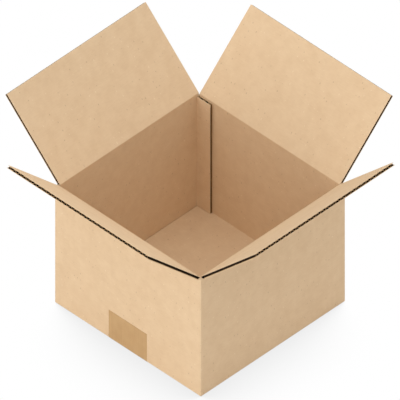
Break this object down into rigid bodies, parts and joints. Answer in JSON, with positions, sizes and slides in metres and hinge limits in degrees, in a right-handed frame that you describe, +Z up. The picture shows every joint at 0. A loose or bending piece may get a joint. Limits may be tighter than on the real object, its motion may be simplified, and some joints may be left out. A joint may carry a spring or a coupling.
{
  "type": "open cardboard box",
  "caption": "Square slotted carton of plain corrugated board, its bottom seam taped and its top flaps folded open.",
  "frame": {"origin": "middle of the base, on the surface the carton stands on", "axes": "+Z up, -Y towards the front wall that carries the end of the tape, +X towards the right wall"},
  "size_m": [0.3168, 0.314, 0.2066],
  "materials": {
    "kraft_board": "matte",
    "packing_tape": "satin"
  },
  "bodies": {
    "carton": {"carton_body": "kraft_board", "bottom_tape": "packing_tape"},
    "front_flap": {"front_flap": "kraft_board"},
    "back_flap": {"back_flap": "kraft_board"},
    "left_flap": {"left_flap": "kraft_board"},
    "right_flap": {"right_flap": "kraft_board"}
  },
  "joints": [
    {"name": "front_flap_fold", "type": "hinge", "parent": "carton", "child": "front_flap", "pos_m": [0, -0.09225, 0.1365], "axis": [1, 0, 0], "range_deg": [-135, 135]},
    {"name": "back_flap_fold", "type": "hinge", "parent": "carton", "child": "back_flap", "pos_m": [0, 0.09225, 0.1365], "axis": [-1, 0, 0], "range_deg": [-135, 135]},
    {"name": "left_flap_fold", "type": "hinge", "parent": "carton", "child": "left_flap", "pos_m": [-0.09275, 0, 0.1392], "axis": [0, -1, 0], "range_deg": [-135, 135]},
    {"name": "right_flap_fold", "type": "hinge", "parent": "carton", "child": "right_flap", "pos_m": [0.09275, 0, 0.1392], "axis": [0, 1, 0], "range_deg": [-135, 135]}
  ]
}
